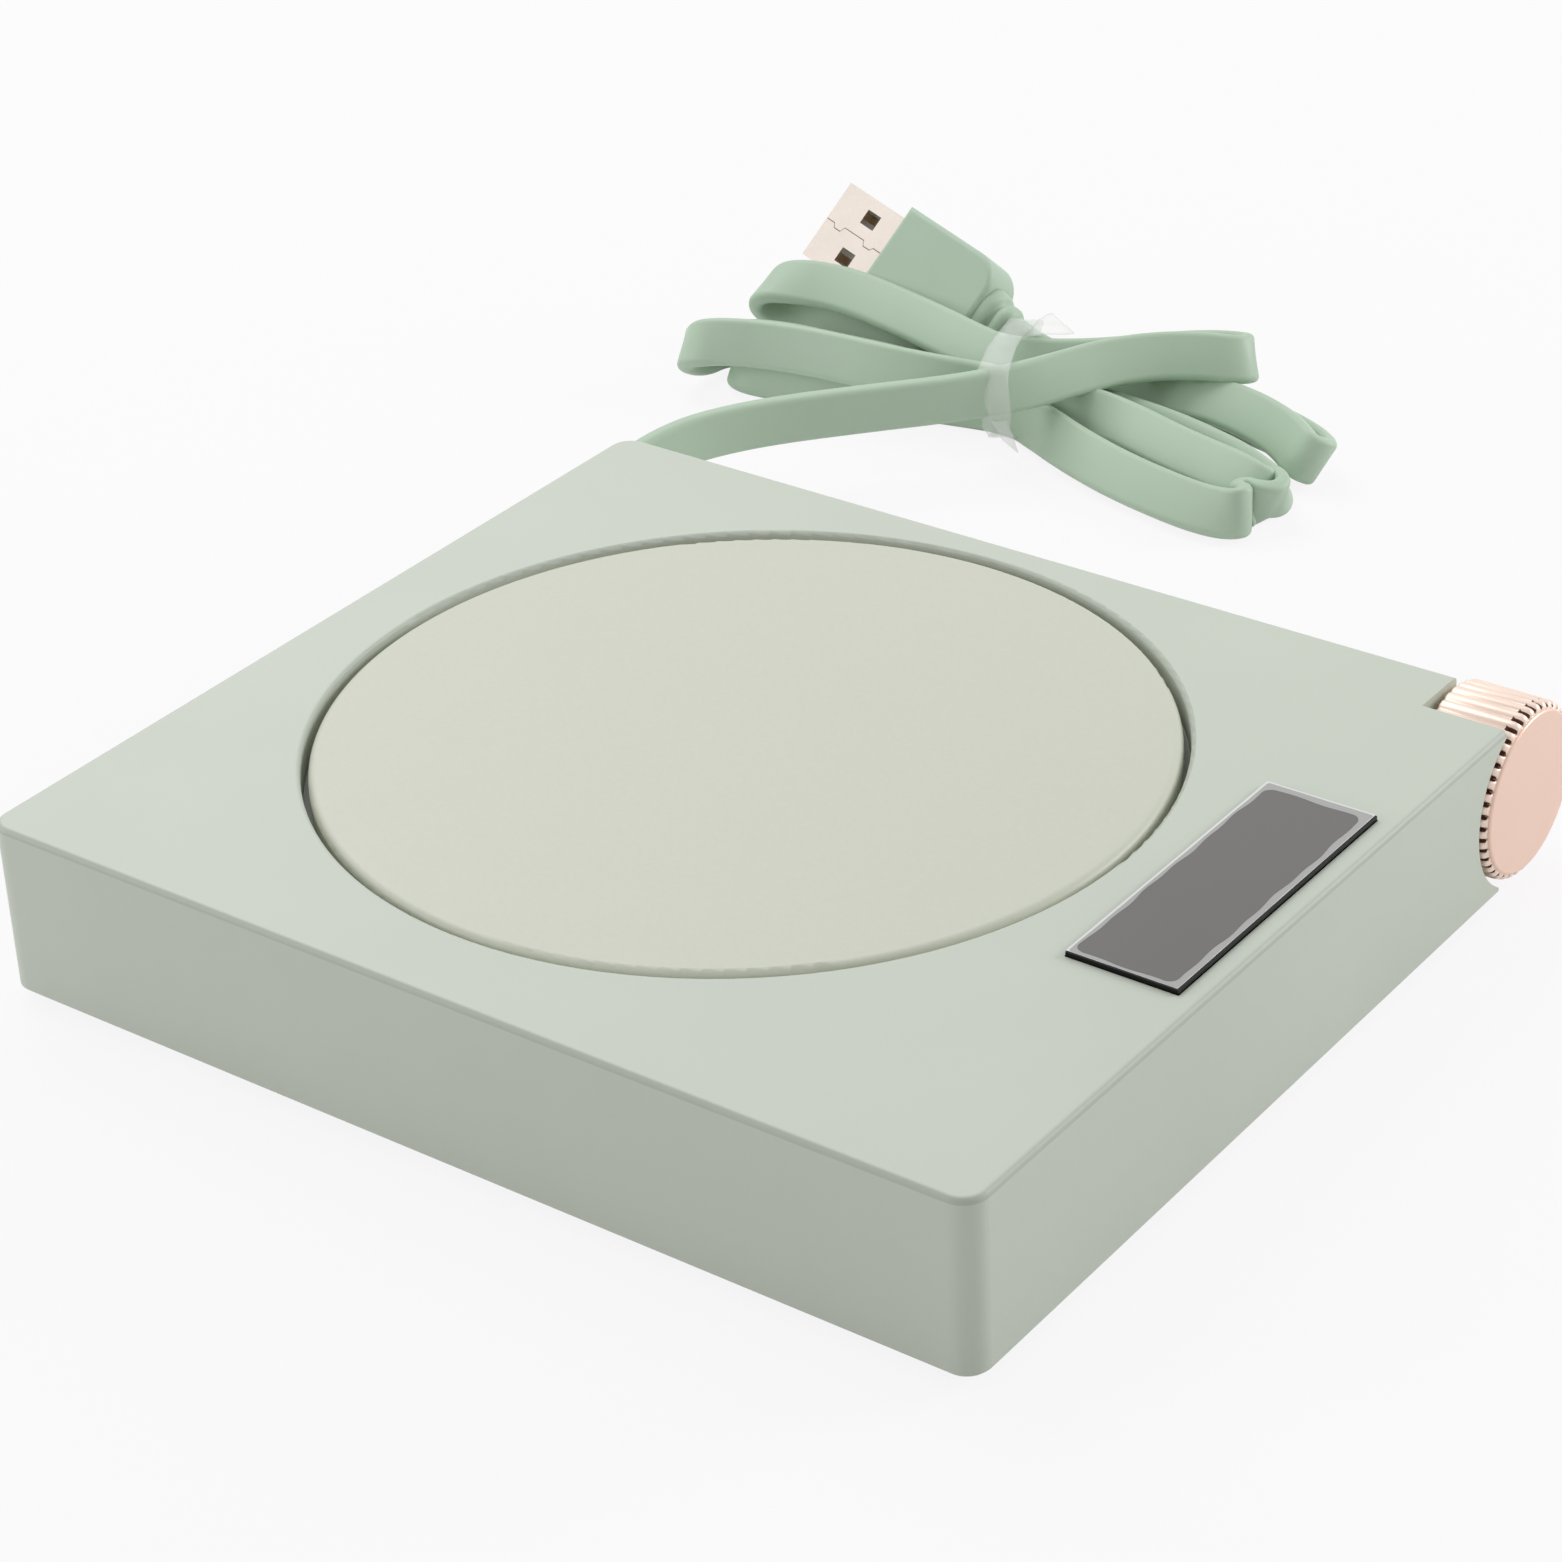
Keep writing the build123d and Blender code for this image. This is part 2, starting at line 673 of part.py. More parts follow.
def tongue_z():
    """Middle of the tongue, which lies on the lower wall of the shell."""
    return -shell_h / 2 + shell_t + tongue_h / 2


def plug_tongue():
    length = shell_l + shell_in_mould - tongue_back
    return on_plug(tongue_back, 0, tongue_z(), length, tongue_w, tongue_h)


def plug_contacts():
    top = tongue_z() + tongue_h / 2
    strips = []
    for i in range(contact_count):
        y = contact_pitch * (i - (contact_count - 1) / 2)
        strips.append(on_plug(contact_back, y, top + contact_t / 2, contact_l, contact_w, contact_t))
    return Compound(strips)


def plug_overmold():
    outline = Pos(shell_l + mould_l / 2, 0) * Rectangle(mould_l, mould_w)
    outline = fillet(outline.vertices().group_by(Axis.X)[-1], mould_corner_r)
    body = Pos(0, 0, -mould_h / 2) * extrude(outline, mould_h)
    long_edges = body.edges().group_by(Axis.Z)
    body = fillet(long_edges[0] + long_edges[-1], mould_edge_r)
    return plug_plane * body - on_plug(shell_l - 1, 0, 0, shell_in_mould + 1, shell_w, shell_h)


def plug_strain_relief():
    relief = None
    x = shell_l + mould_l
    for width, height, length in relief_steps:
        step = on_plug(x, 0, 0, length, width, height)
        relief = step if relief is None else relief + step
        x += length
    return relief


# ---------------------------------------------------------------- wires inside the housing
def wire(points, radius):
    """A wire along runs joined by tangent arcs."""
    path = FilletPolyline(*points, radius=bend_radii(points))
    section = RegularPolygon(radius, wire_sides)
    return sweep(Plane(origin=path @ 0, z_dir=path % 0) * section, path=path)


def socket_place(socket):
    """Middle of a socket's mouth, for wires that come from behind."""
    x, y = socket
    return board_x + x, board_y + y + socket_d / 2


def lead_wires():
    """The lead's two cores, from the end of its jacket to their socket on the board."""
    x_socket, end_y = socket_place(lead_socket)
    low = cover_top + wire_over_cover
    wires = []
    for shift in (-wire_pitch / 2, wire_pitch / 2):
        wires.append(wire([(cord_x, jacket_end, cord_z + shift),
                           (cord_x, jacket_end - wire_straight, cord_z + shift),
                           (cord_x - wire_pitch + shift, back_y - wire_dip_back, low),
                           (x_socket + shift, 0, low),
                           (x_socket + shift, end_y + wire_straight, wire_level),
                           (x_socket + shift, end_y, wire_level)], wire_r))
    return Compound(wires)


def heater_wires():
    """Two wires from the heating film, down through the pad and forward to the board."""
    x_socket, end_y = socket_place(heater_socket)
    wires = []
    for shift in (-wire_pitch, wire_pitch):
        x_film = plate_x + shift
        y_film = plate_y + wire_hole_y
        x_aside = x_socket + heater_wire_side + shift
        wires.append(wire([(x_film, y_film, film_z),
                           (x_film, y_film, film_z - heater_wire_drop),
                           (x_aside, end_y + 2 * wire_straight, wire_level),
                           (x_socket + shift, end_y + wire_straight, wire_level),
                           (x_socket + shift, end_y, wire_level)], wire_r))
    return Compound(wires)


def encoder_wires():
    """Thin wires from the encoder's board, one above another, to their socket."""
    x_socket = board_x + encoder_socket[0]
    y_socket = board_y + encoder_socket[1]
    face = encoder_board_y + encoder_board_t
    x_board = side_x - wall - encoder_board_w + 1
    wires = []
    for i in range(thin_wire_count):
        z = wire_level + thin_wire_pitch * (i - (thin_wire_count - 1) / 2)
        end_x = x_socket + socket_w / 2
        wires.append(wire([(x_board, face, z),
                           (x_board, face + wire_straight, z),
                           (x_board - wire_straight, face + wire_straight, z),
                           (end_x + wire_straight / 2, y_socket + 1, z),
                           (end_x, y_socket + 1, z)], thin_wire_r))
    return Compound(wires)


# ---------------------------------------------------------------- write the pieces
PIECES = [
    top_housing, bottom_cover, rubber_feet, cover_screws,
    warming_plate, plate_gasket, heating_film, insulation_pad, thermistor, thermal_cutout,
    heater_retainer, retainer_screws,
    display_window, display_module, control_board, board_chips, wire_sockets, board_screws,
    encoder_body, encoder_board, switch_plunger, encoder_shaft, knob_sleeve, knob_cap,
    lead_wires, heater_wires, encoder_wires,
    cable_gland, cord_lead, cord_hank, cord_tie,
    plug_strain_relief, plug_overmold, plug_shell, plug_tongue, plug_contacts,
]


def save(piece):
    """Write one piece, moved so that the origin is the middle of the footprint."""
    moved = Pos(-footprint_x, -footprint_y, 0) * piece()
    export_step(moved, f"parts/{piece.__name__}.step")


os.makedirs("parts", exist_ok=True)
for piece in PIECES:
    save(piece)
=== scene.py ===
from math import cos, hypot, pi, radians, sin

import bpy
from mathutils import Matrix, Vector


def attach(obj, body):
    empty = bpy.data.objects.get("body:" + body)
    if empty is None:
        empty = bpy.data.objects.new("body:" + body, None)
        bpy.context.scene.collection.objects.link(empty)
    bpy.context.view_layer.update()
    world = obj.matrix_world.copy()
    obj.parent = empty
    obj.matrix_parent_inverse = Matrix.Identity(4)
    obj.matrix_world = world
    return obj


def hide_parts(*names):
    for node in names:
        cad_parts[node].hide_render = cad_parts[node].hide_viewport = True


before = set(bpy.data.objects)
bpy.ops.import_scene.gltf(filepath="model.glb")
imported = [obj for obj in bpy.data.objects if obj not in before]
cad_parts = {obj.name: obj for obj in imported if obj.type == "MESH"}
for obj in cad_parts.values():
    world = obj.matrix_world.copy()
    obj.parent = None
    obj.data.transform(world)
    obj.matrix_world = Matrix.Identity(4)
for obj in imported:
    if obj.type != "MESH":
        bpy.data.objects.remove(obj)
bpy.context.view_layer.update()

# ---------------------------------------------------------------- camera, light and floor
CAMERA_PLACE = (-0.31458, -0.23889, 0.24839)
CAMERA_AZIMUTH = radians(-52.541)
CAMERA_ELEVATION = radians(30.321)
CAMERA_ROLL = radians(-2.586)
CAMERA_LENS = 97.78          # mm, on a sensor 36 mm wide
FLOOR_SIZE = 6.0
FLOOR_DROP = 0.0001          # the floor lies this far under the feet
FLOOR_GLOW = 0.88            # how much of the floor's look is plain white
AMBIENT = 0.47               # the world's level for light that isn't seen directly
# The lamps, aimed at the origin: name, place, size and power.
LAMPS = [("back", (0.20, 0.45, 0.60), 0.60, 2.3),
         ("display side", (0.55, -0.45, 0.30), 0.30, 2.2),
         ("left side", (-0.42, 0.48, 0.22), 0.30, 0.8)]

# ---------------------------------------------------------------- the flat lead
LEAD_WIDTH = 0.0065
LEAD_THICKNESS = 0.0022
LEAD_CORNER = 0.0008         # radius of the jacket's corners
STEPS_PER_POINT = 16         # samples of a curve for each of its control points

UPRIGHT = (0.0, 0.0, 1.0)
TOP_LEAN = (0.40, 0.41, 0.82)
BACK_LEAN = (0.74, -0.15, 0.66)
LOW_LEAN = (0.40, -0.10, 0.91)
# The lead's route in stretches. Each has the way that its width points, from its lower rim to
# its upper rim, and the points that its middle follows.
ROUTE = [
    # From the housing, along its back where the camera can't see it, to the tie.
    (UPRIGHT, [(0.0240, 0.0618, 0.0105), (0.0240, 0.0720, 0.0104), (0.0340, 0.0724, 0.0088),
               (0.0460, 0.0724, 0.0076), (0.0560, 0.0724, 0.0082), (0.0640, 0.0722, 0.0096),
               (0.0700, 0.0710, 0.0102), (0.0755, 0.0692, 0.0102), (0.0830, 0.0648, 0.0101),
               (0.0930, 0.0559, 0.0101), (0.0990, 0.0502, 0.0101), (0.1042, 0.0460, 0.0101)]),
    ((0.20, 0.20, 0.96), [(0.1090, 0.0425, 0.0102)]),
    # Right, on top: out, and back behind itself.
    (TOP_LEAN, [(0.1146, 0.0396, 0.0103), (0.1202, 0.0368, 0.0104), (0.1256, 0.0323, 0.0104),
                (0.1290, 0.0270, 0.0103), (0.1305, 0.0231, 0.0101), (0.1328, 0.0221, 0.0095),
                (0.1340, 0.0244, 0.0090), (0.1320, 0.0288, 0.0090), (0.1274, 0.0340, 0.0091),
                (0.1218, 0.0386, 0.0094)]),
    # Left, high and furthest: out, down round its end and back along the table.
    ((0.50, 0.10, 0.86), [(0.1166, 0.0450, 0.0098)]),
    (BACK_LEAN, [(0.1155, 0.0512, 0.0096), (0.1170, 0.0569, 0.0096), (0.1190, 0.0632, 0.0096),
                 (0.1208, 0.0704, 0.0097), (0.1224, 0.0774, 0.0098), (0.1229, 0.0834, 0.0098),
                 (0.1222, 0.0890, 0.0096)]),
    ((0.88, -0.05, 0.45), [(0.1216, 0.0930, 0.0086)]),
    ((0.97, 0.05, 0.20), [(0.1220, 0.0950, 0.0060)]),
    ((0.85, 0.00, 0.52), [(0.1236, 0.0932, 0.0038)]),
    ((0.55, -0.15, 0.82), [(0.1246, 0.0872, 0.0034), (0.1222, 0.0792, 0.0033),
                           (0.1196, 0.0688, 0.0033), (0.1184, 0.0568, 0.0034)]),
    (UPRIGHT, [(0.1197, 0.0529, 0.0034), (0.1192, 0.0468, 0.0034)]),
    # Right, leaning in, round its end and back as the nearest stretch.
    ((-0.44, -0.09, 0.89), [(0.1213, 0.0400, 0.0034)]),
    ((-0.70, -0.15, 0.70), [(0.1226, 0.0292, 0.0031), (0.1204, 0.0200, 0.0031),
                            (0.1182, 0.0134, 0.0031), (0.1150, 0.0082, 0.0033)]),
    ((-0.64, -0.26, 0.72), [(0.1114, 0.0046, 0.0034)]),
    ((-0.42, -0.36, 0.83), [(0.1084, 0.0048, 0.0034)]),
    ((0.05, 0.45, 0.89), [(0.1063, 0.0078, 0.0034)]),
    ((0.40, 0.10, 0.91), [(0.1046, 0.0060, 0.0035), (0.1028, 0.0066, 0.0034)]),
    ((0.69, -0.14, 0.71), [(0.1025, 0.0102, 0.0031), (0.1030, 0.0155, 0.0031),
                           (0.1052, 0.0254, 0.0031), (0.1085, 0.0349, 0.0032)]),
    ((0.40, -0.20, 0.90), [(0.1118, 0.0420, 0.0033)]),
    (UPRIGHT, [(0.1130, 0.0466, 0.0034), (0.1127, 0.0516, 0.0034)]),
    # Left, low and nearest: out and back.
    (LOW_LEAN, [(0.1116, 0.0588, 0.0033), (0.1078, 0.0700, 0.0033), (0.1064, 0.0792, 0.0033),
                (0.1054, 0.0880, 0.0033), (0.1112, 0.0888, 0.0033), (0.1116, 0.0812, 0.0034),
                (0.1116, 0.0732, 0.0034), (0.1132, 0.0642, 0.0034), (0.1144, 0.0551, 0.0034)]),
    (UPRIGHT, [(0.1168, 0.0490, 0.0034), (0.1183, 0.0432, 0.0034)]),
    # Right, between the nearest loop and the widest: out along the table and back on top.
    (BACK_LEAN, [(0.1190, 0.0372, 0.0030), (0.1166, 0.0296, 0.0030), (0.1140, 0.0214, 0.0030),
                 (0.1124, 0.0146, 0.0030), (0.1112, 0.0092, 0.0030), (0.1102, 0.0066, 0.0034),
                 (0.1082, 0.0068, 0.0048), (0.1090, 0.0104, 0.0054), (0.1103, 0.0154, 0.0053),
                 (0.1120, 0.0222, 0.0053),
                 (0.1148, 0.0304, 0.0052)]),
    ((0.40, -0.15, 0.90), [(0.1160, 0.0380, 0.0052)]),
    (UPRIGHT, [(0.1144, 0.0450, 0.0056), (0.1127, 0.0500, 0.0066)]),
    # Left, high: out, down round its end and back along the table.
    ((0.42, -0.05, 0.90), [(0.1088, 0.0550, 0.0080), (0.1070, 0.0632, 0.0084),
                           (0.1063, 0.0735, 0.0084), (0.1050, 0.0812, 0.0084),
                           (0.1031, 0.0872, 0.0083)]),
    ((0.62, 0.20, 0.75), [(0.1016, 0.0914, 0.0076)]),
    ((0.85, 0.30, 0.42), [(0.1028, 0.0938, 0.0056)]),
    ((0.62, 0.15, 0.77), [(0.1060, 0.0936, 0.0038)]),
    (LOW_LEAN, [(0.1114, 0.0930, 0.0036), (0.1148, 0.0872, 0.0034), (0.1156, 0.0772, 0.0034),
                (0.1168, 0.0662, 0.0034), (0.1163, 0.0559, 0.0034)]),
    (UPRIGHT, [(0.1179, 0.0522, 0.0034), (0.1213, 0.0476, 0.0034)]),
    # Right, the widest loop: out on top, round its end and back beneath, then up into the
    # plug's strain relief.
    ((0.50, -0.10, 0.86), [(0.1246, 0.0402, 0.0040)]),
    (BACK_LEAN, [(0.1270, 0.0322, 0.0048), (0.1272, 0.0272, 0.0051), (0.1270, 0.0226, 0.0052)]),
    ((0.60, -0.25, 0.76), [(0.1258, 0.0174, 0.0052)]),
    ((0.50, -0.33, 0.80), [(0.1241, 0.0129, 0.0051), (0.1218, 0.0092, 0.0050),
                           (0.1197, 0.0066, 0.0046), (0.1214, 0.0048, 0.0034),
                           (0.1240, 0.0070, 0.0032), (0.1264, 0.0118, 0.0032)]),
    ((0.60, -0.20, 0.77), [(0.1280, 0.0172, 0.0031)]),
    (BACK_LEAN, [(0.1292, 0.0224, 0.0031), (0.1294, 0.0302, 0.0031), (0.1276, 0.0384, 0.0036)]),
    ((0.20, -0.06, 0.97), [(0.1252, 0.0459, 0.0048)]),
    (UPRIGHT, [(0.1243, 0.0503, 0.0064)]),
    ((0.621, -0.286, 0.730), [(0.1246, 0.0545, 0.0072)]),
]


# ---------------------------------------------------------------- tie, plug, knob and display
MM = 0.001

# The film round the hank's waist, in mm across the hank and up, and along it to each side.
TIE_MIDDLE = (0.1157, 0.04855)
TIE_TURN = radians(22.3)
TIE_LOOP = [(-12.2, 10.2), (-12.5, 14.0), (-6.0, 14.0), (1.6, 13.6), (11.4, 10.9), (12.0, 9.0),
            (10.8, 3.4), (5.6, 0.2), (-4.2, 0.2), (-8.3, 2.8), (-12.6, 6.4), (-12.2, 10.2)]
TIE_LEFT = 2.2
TIE_RIGHT = -1.7
TIE_THICKNESS = 0.00018
TIE_COLUMNS = 9              # points across the film's width
TIE_LOWEST = 0.0001          # the film stays this far above the table
TIE_HEART = 6.5              # mm, the height of the loop's middle
# Corners of the film's two loose ends, in mm across, along and up.
TIE_TOP_END = [(-1.0, -1.5, 13.6), (9.5, -1.5, 11.5), (12.0, -3.0, 11.4), (3.6, -7.6, 12.6)]
TIE_LOW_END = [(-12.5, 0.6, 6.6), (-12.5, -1.6, 6.9), (-8.6, -2.2, 0.4), (-9.6, -0.4, 2.6)]

# The plug: the middle of the shell's open end, and its axes.
PLUG_TIP = Vector((0.1321, 0.08945, 0.0145))
PLUG_ALONG = Vector((-0.206, -0.958, -0.200)).normalized()
PLUG_FACE = Vector((-0.756, 0.026, 0.654)).normalized()
PLUG_ACROSS = Vector((0.621, -0.286, 0.730)).normalized()
# The strain relief's outline in mm: how far from the tip, how wide and how thick.
RELIEF = [(30.0, 10.6, 6.4), (30.9, 10.4, 6.3), (31.7, 10.0, 6.1), (32.2, 9.2, 5.4),
          (32.4, 7.6, 4.3), (32.8, 7.4, 4.1), (33.0, 8.3, 4.9), (33.4, 8.8, 5.3),
          (34.2, 8.7, 5.2), (34.7, 8.1, 4.7), (34.9, 7.1, 3.7), (35.3, 7.0, 3.5),
          (36.2, 7.2, 3.3), (37.6, 7.0, 2.9), (39.0, 6.8, 2.5)]
RELIEF_ROUND = 0.46          # radius of its corners, as a share of its thickness
# The boot where the lead leaves the housing, in mm: how far along the lead, how thick and high.
BOOT = [(0.0, 8.2, 12.4), (1.6, 8.1, 12.3), (2.2, 7.4, 11.6), (3.2, 7.0, 11.2), (3.6, 6.1, 10.4),
        (4.2, 6.1, 10.3), (4.6, 6.5, 10.5), (5.6, 6.1, 10.1), (6.0, 5.2, 9.4), (6.6, 5.2, 9.3),
        (7.0, 5.6, 9.5), (8.0, 5.2, 9.1), (8.4, 4.5, 8.5), (9.2, 4.5, 8.4), (9.6, 4.8, 8.5),
        (10.8, 4.3, 8.1), (12.6, 3.6, 7.6), (13.2, 3.0, 7.2)]
BOOT_ROUND = 0.40            # radius of its corners, as a share of its thickness
SHELL_FACE = 0.00226         # from the plug's middle to the top of its shell
# The shell's folded seam in mm: how far from the tip, and to the side of its middle.
SEAM = [(0.1, 0.1), (1.6, 0.1), (2.0, -0.5), (3.2, -0.5), (3.6, 0.3), (7.5, 0.3), (7.9, -0.4),
        (9.2, -0.4), (9.6, 0.1), (11.7, 0.1)]
SEAM_HALF_WIDTH = 0.07       # mm
SEAM_UNDER = 0.02            # mm under the shell's face, so that it sits in it
SEAM_OVER = 0.012            # and above it

KNOB_MIDDLE = (0.0488, 0.01145)   # x and z of the knob's axis, which points along Y
KNOB_RIBS = 42
RIB_STEPS = 10               # points round each rib
# The knob's rings from back to front and back through its bore, in mm: y, radius and the depth
# of the grooves.
KNOB_RINGS = [(-52.95, 9.7, 0.15), (-53.1, 10.1, 0.20), (-53.4, 10.2, 0.20), (-61.3, 10.2, 0.20),
              (-61.5, 10.2, 0.85), (-61.9, 10.2, 0.90), (-62.3, 10.1, 0.85), (-62.55, 9.9, 0.65),
              (-62.7, 9.6, 0.30), (-62.7, 9.3, 0.10), (-62.6, 4.4, 0.0), (-52.95, 4.4, 0.0)]
DEEP_GROOVE = 0.35           # mm: groove faces deeper than this get painted shade, the dark gaps between beads
# The disc's rings from back to front in mm: y and radius.
DISC_RINGS = [(-62.2, 9.36), (-62.8, 9.36), (-62.95, 9.28), (-63.0, 9.1)]
DISC_SIDES = 96

DISPLAY_LOW = (-19.4, -59.95)    # mm, the glass seen from above
DISPLAY_HIGH = (19.6, -46.95)
DISPLAY_TOP = 22.2
# A pale sheet whose rim is a painted highlight along the display's far edges, the cover film's
# grey border and the screen:
# inset from the glass at its left, front, right and back, the corner's radius, how wavy the edge
# is, and the top in mm.
EDGE_HIGHLIGHT_SHAPE = ((0.25, 0.25, -0.12, -0.12), 0.15, 0.0, 22.22)
FILM_BORDER = ((0.30, 0.30, 0.12, 0.14), 0.30, 0.04, 22.24)
FILM_SCREEN = ((0.62, 0.80, 0.95, 0.42), 1.20, 0.34, 22.26)


# ---------------------------------------------------------------- helpers
def link(obj):
    bpy.context.scene.collection.objects.link(obj)
    return obj


def mesh_object(name, vertices, faces, smooth=True):
    """A mesh object in the scene, with no material yet."""
    mesh = bpy.data.meshes.new(name)
    mesh.from_pydata([tuple(v) for v in vertices], [], faces)
    mesh.polygons.foreach_set("use_smooth", [smooth] * len(mesh.polygons))
    mesh.update()
    return link(bpy.data.objects.new(name, mesh))


def skin(name, rings, hollow=False):
    """A solid through equal rings of points. A hollow one joins its last ring to its first."""
    count = len(rings[0])
    vertices = [p for ring in rings for p in ring]
    faces = []
    for i in range(len(rings) if hollow else len(rings) - 1):
        ahead = (i + 1) % len(rings)
        for j in range(count):
            k = (j + 1) % count
            faces.append((i * count + j, i * count + k, ahead * count + k, ahead * count + j))
    if not hollow:
        faces.append(tuple(reversed(range(count))))
        faces.append(tuple(range((len(rings) - 1) * count, len(rings) * count)))
    return mesh_object(name, vertices, faces)


def rounded_rectangle(width, height, radius, steps=4):
    """Points round a rectangle with rounded corners, middle at 0, anticlockwise."""
    points = []
    for quarter, (sx, sy) in enumerate(((1, 1), (-1, 1), (-1, -1), (1, -1))):
        cx = sx * (width / 2 - radius)
        cy = sy * (height / 2 - radius)
        for i in range(steps + 1):
            angle = pi / 2 * (quarter + i / steps)
            points.append((cx + radius * cos(angle), cy + radius * sin(angle)))
    return points


def grid_sheet(name, corners, steps, thickness):
    """A thin sheet between four corners, slightly crumpled, as a solid."""
    a, b, c, d = (Vector(corner) for corner in corners)
    vertices = []
    for i in range(steps + 1):
        for j in range(steps + 1):
            across, up = i / steps, j / steps
            place = a.lerp(b, across).lerp(d.lerp(c, across), up)
            place.z += 0.00025 * sin(5.0 * across + 4.0 * up) * sin(pi * up)
            vertices.append(place)
    row = steps + 1
    faces = [(i * row + j, (i + 1) * row + j, (i + 1) * row + j + 1, i * row + j + 1)
             for i in range(steps) for j in range(steps)]
    sheet = mesh_object(name, vertices, faces)
    thicken(sheet, thickness)
    return sheet


def thicken(obj, thickness):
    modifier = obj.modifiers.new("thickness", "SOLIDIFY")
    modifier.thickness = thickness
    modifier.offset = 0.0


def finish_piece(obj, body, materials):
    """Gives a new piece its materials and the body that it rides on."""
    for material in materials:
        obj.data.materials.append(material)
    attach(obj, body)
    return obj


# ---------------------------------------------------------------- materials
# The colour sockets of a Mix node.
MIX_A = 6
MIX_B = 7
MIX_RESULT = 2


def new_material(name):
    """A material with its node tree and its surface shader."""
    material = bpy.data.materials.new(name)
    material.use_nodes = True
    nodes = material.node_tree.nodes
    return material, nodes, material.node_tree.links, nodes["Principled BSDF"]


def noise(nodes, links, scale, detail=3.0):
    """A noise texture fixed to the object, scale in waves a metre."""
    place = nodes.new("ShaderNodeTexCoord")
    texture = nodes.new("ShaderNodeTexNoise")
    texture.inputs["Scale"].default_value = scale
    texture.inputs["Detail"].default_value = detail
    links.new(place.outputs["Object"], texture.inputs["Vector"])
    return texture


def vary_colour(nodes, links, shader, texture, colour, spread):
    """The colour drifts by spread, darker to lighter, with the texture."""
    ramp = nodes.new("ShaderNodeValToRGB")
    for stop, place, level in zip(ramp.color_ramp.elements, (0.3, 0.7), (1 - spread, 1 + spread)):
        stop.position = place
        stop.color = (*(min(1.0, c * level) for c in colour), 1.0)
    links.new(texture.outputs["Fac"], ramp.inputs["Fac"])
    links.new(ramp.outputs["Color"], shader.inputs["Base Color"])


def vary_roughness(nodes, links, shader, texture, low, high):
    spread = nodes.new("ShaderNodeMapRange")
    spread.inputs["To Min"].default_value = low
    spread.inputs["To Max"].default_value = high
    links.new(texture.outputs["Fac"], spread.inputs["Value"])
    links.new(spread.outputs["Result"], shader.inputs["Roughness"])


def add_bump(nodes, links, shader, texture, depth, strength=1.0):
    """Raises the surface by up to depth metres with the texture."""
    bump = nodes.new("ShaderNodeBump")
    bump.inputs["Distance"].default_value = depth
    bump.inputs["Strength"].default_value = strength
    links.new(texture.outputs["Fac"], bump.inputs["Height"])
    links.new(bump.outputs["Normal"], shader.inputs["Normal"])


def moulded(name, colour, roughness=0.5, grain=2600, depth=0.00001, spread=0.02, **sockets):
    """Moulded plastic or rubber: a fine spark-eroded grain and a slow drift of colour."""
    material, nodes, links, shader = new_material(name)
    vary_colour(nodes, links, shader, noise(nodes, links, 30), colour, spread)
    fine = noise(nodes, links, grain, detail=2.0)
    vary_roughness(nodes, links, shader, fine, roughness - 0.06, roughness + 0.06)
    add_bump(nodes, links, shader, fine, depth)
    for socket, value in sockets.items():
        shader.inputs[socket.replace("_", " ")].default_value = value
    return material


def metal(name, colour, roughness=0.3, grain=3000, depth=0.000004, spread=0.03, stretch=None):
    """Metal with fine scratches, drawn out along one axis where stretch is given."""
    material, nodes, links, shader = new_material(name)
    shader.inputs["Metallic"].default_value = 1.0
    fine = noise(nodes, links, grain)
    if stretch:
        place = nodes.new("ShaderNodeMapping")
        place.inputs["Scale"].default_value = stretch
        links.new(fine.inputs["Vector"].links[0].from_socket, place.inputs["Vector"])
        links.new(place.outputs["Vector"], fine.inputs["Vector"])
    vary_colour(nodes, links, shader, noise(nodes, links, 200), colour, spread)
    vary_roughness(nodes, links, shader, fine, roughness - 0.08, roughness + 0.08)
    add_bump(nodes, links, shader, fine, depth)
    return material


def housing_satin():
    """Painted plastic: a fine grain, and painted shade on faces that slope between upright and
    flat, as on the rounded edges.
    """
    material = moulded("housing satin", (0.600, 0.640, 0.555), 0.46, depth=0.000012)
    nodes, links = material.node_tree.nodes, material.node_tree.links
    shader = nodes["Principled BSDF"]
    flat_colour = shader.inputs["Base Color"].links[0].from_socket
    place = nodes.new("ShaderNodeTexCoord")
    axes = nodes.new("ShaderNodeSeparateXYZ")
    links.new(place.outputs["Normal"], axes.inputs[0])
    # Painted shade: the colour darkens to 0.84 on faces tilted between upright and flat.
    painted_edge_shade = nodes.new("ShaderNodeValToRGB")
    levels = ((0.0, 1.0), (0.12, 0.84), (0.85, 0.84), (0.985, 1.0))
    while len(painted_edge_shade.color_ramp.elements) < len(levels):
        painted_edge_shade.color_ramp.elements.new(0.5)
    for stop, (position, level) in zip(painted_edge_shade.color_ramp.elements, levels):
        stop.position = position
        stop.color = (level, level, level, 1)
    links.new(axes.outputs["Z"], painted_edge_shade.inputs["Fac"])
    mix = nodes.new("ShaderNodeMix")
    mix.data_type = "RGBA"
    mix.blend_type = "MULTIPLY"
    mix.inputs["Factor"].default_value = 1.0
    links.new(flat_colour, mix.inputs[MIX_A])
    links.new(painted_edge_shade.outputs["Color"], mix.inputs[MIX_B])
    links.new(mix.outputs[MIX_RESULT], shader.inputs["Base Color"])
    return material


def plate_enamel():
    """Satin enamel: cream with faint darker flecks and an orange-peel surface."""
    material, nodes, links, shader = new_material("plate enamel")
    flecks = noise(nodes, links, 1500, detail=6.0)
    vary_colour(nodes, links, shader, flecks, (0.630, 0.645, 0.540), 0.012)
    vary_roughness(nodes, links, shader, noise(nodes, links, 120), 0.38, 0.48)
    add_bump(nodes, links, shader, noise(nodes, links, 3200, detail=4.0), 0.000012)
    return material


